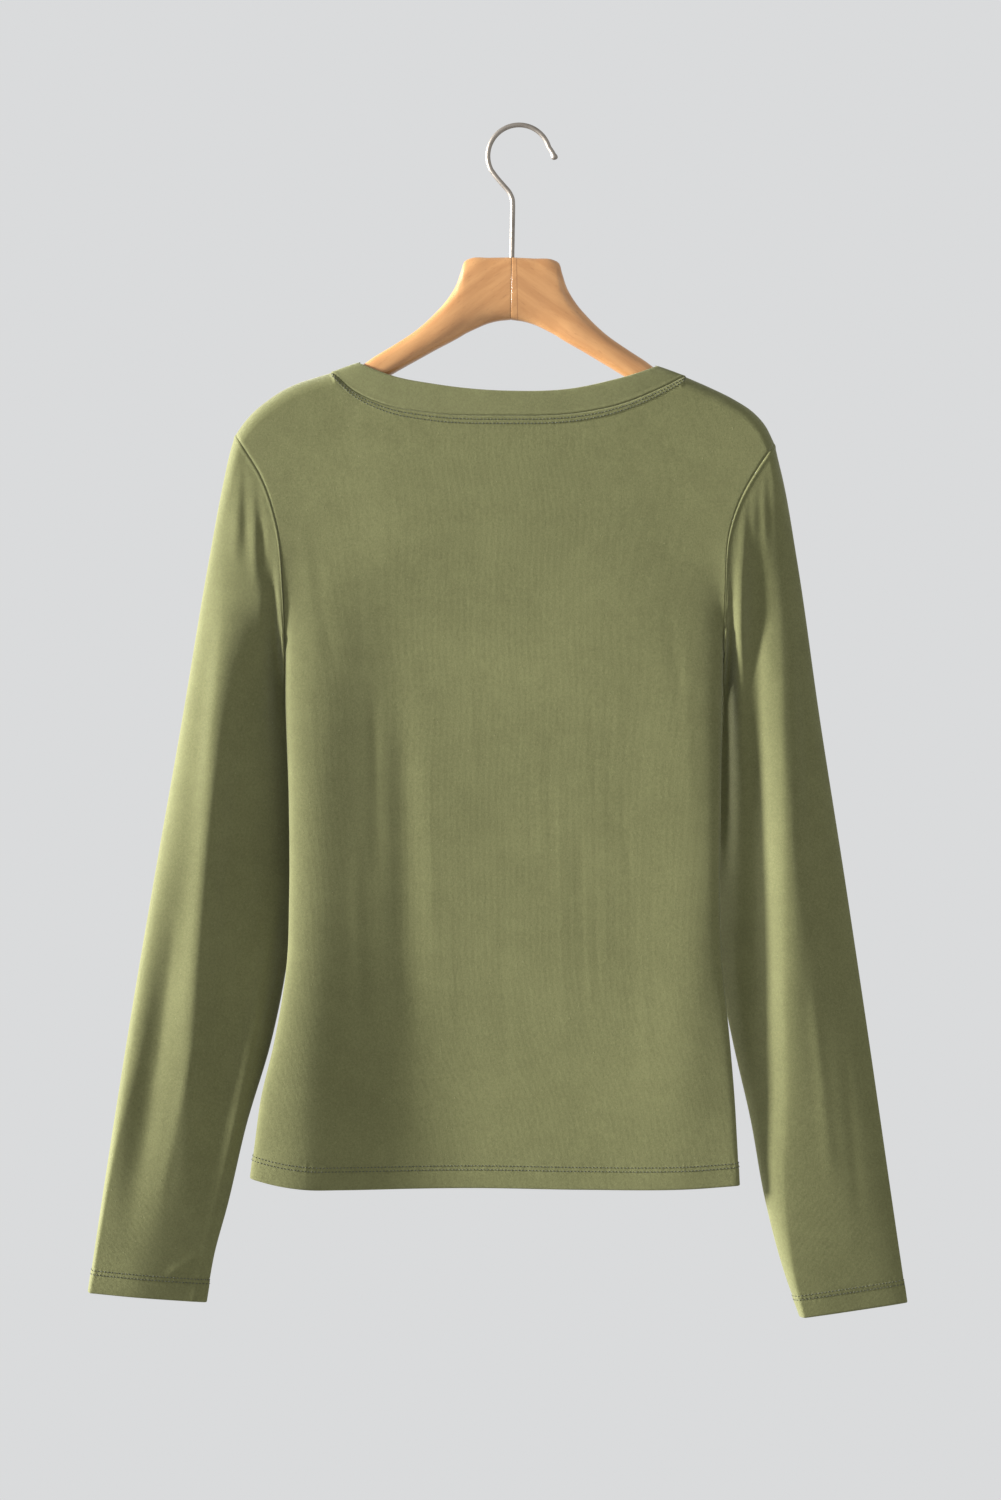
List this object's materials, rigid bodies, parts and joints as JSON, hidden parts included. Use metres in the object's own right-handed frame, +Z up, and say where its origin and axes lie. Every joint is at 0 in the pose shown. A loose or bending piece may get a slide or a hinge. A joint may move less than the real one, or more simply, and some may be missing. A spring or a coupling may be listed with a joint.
{
  "type": "long-sleeve top on a hanger",
  "caption": "Long-sleeve jersey top with a wide shallow neckline, hung by its shoulders on a wooden hanger with a wire hook.",
  "frame": {"origin": "the inside top of the hanger's hook, where it rests on a rail", "axes": "+Z up, -Y towards the garment's back, which is the side that shows, +X to the right of someone who looks at that side"},
  "size_m": [0.5892, 0.0421, 0.8588],
  "materials": {
    "sage_jersey": "soft matt jersey knit, sage green",
    "sage_band": "the same jersey, folded double",
    "honey_wood": "clear satin lacquer over honey-coloured wood",
    "nickel_wire": "plain bright nickel wire"
  },
  "bodies": {
    "root": {"back_panel": "sage_jersey", "front_panel": "sage_jersey", "sleeve_left": "sage_jersey", "sleeve_right": "sage_jersey", "neckband": "sage_band", "hanger_wood": "honey_wood", "hanger_hook": "nickel_wire"}
  },
  "joints": []
}
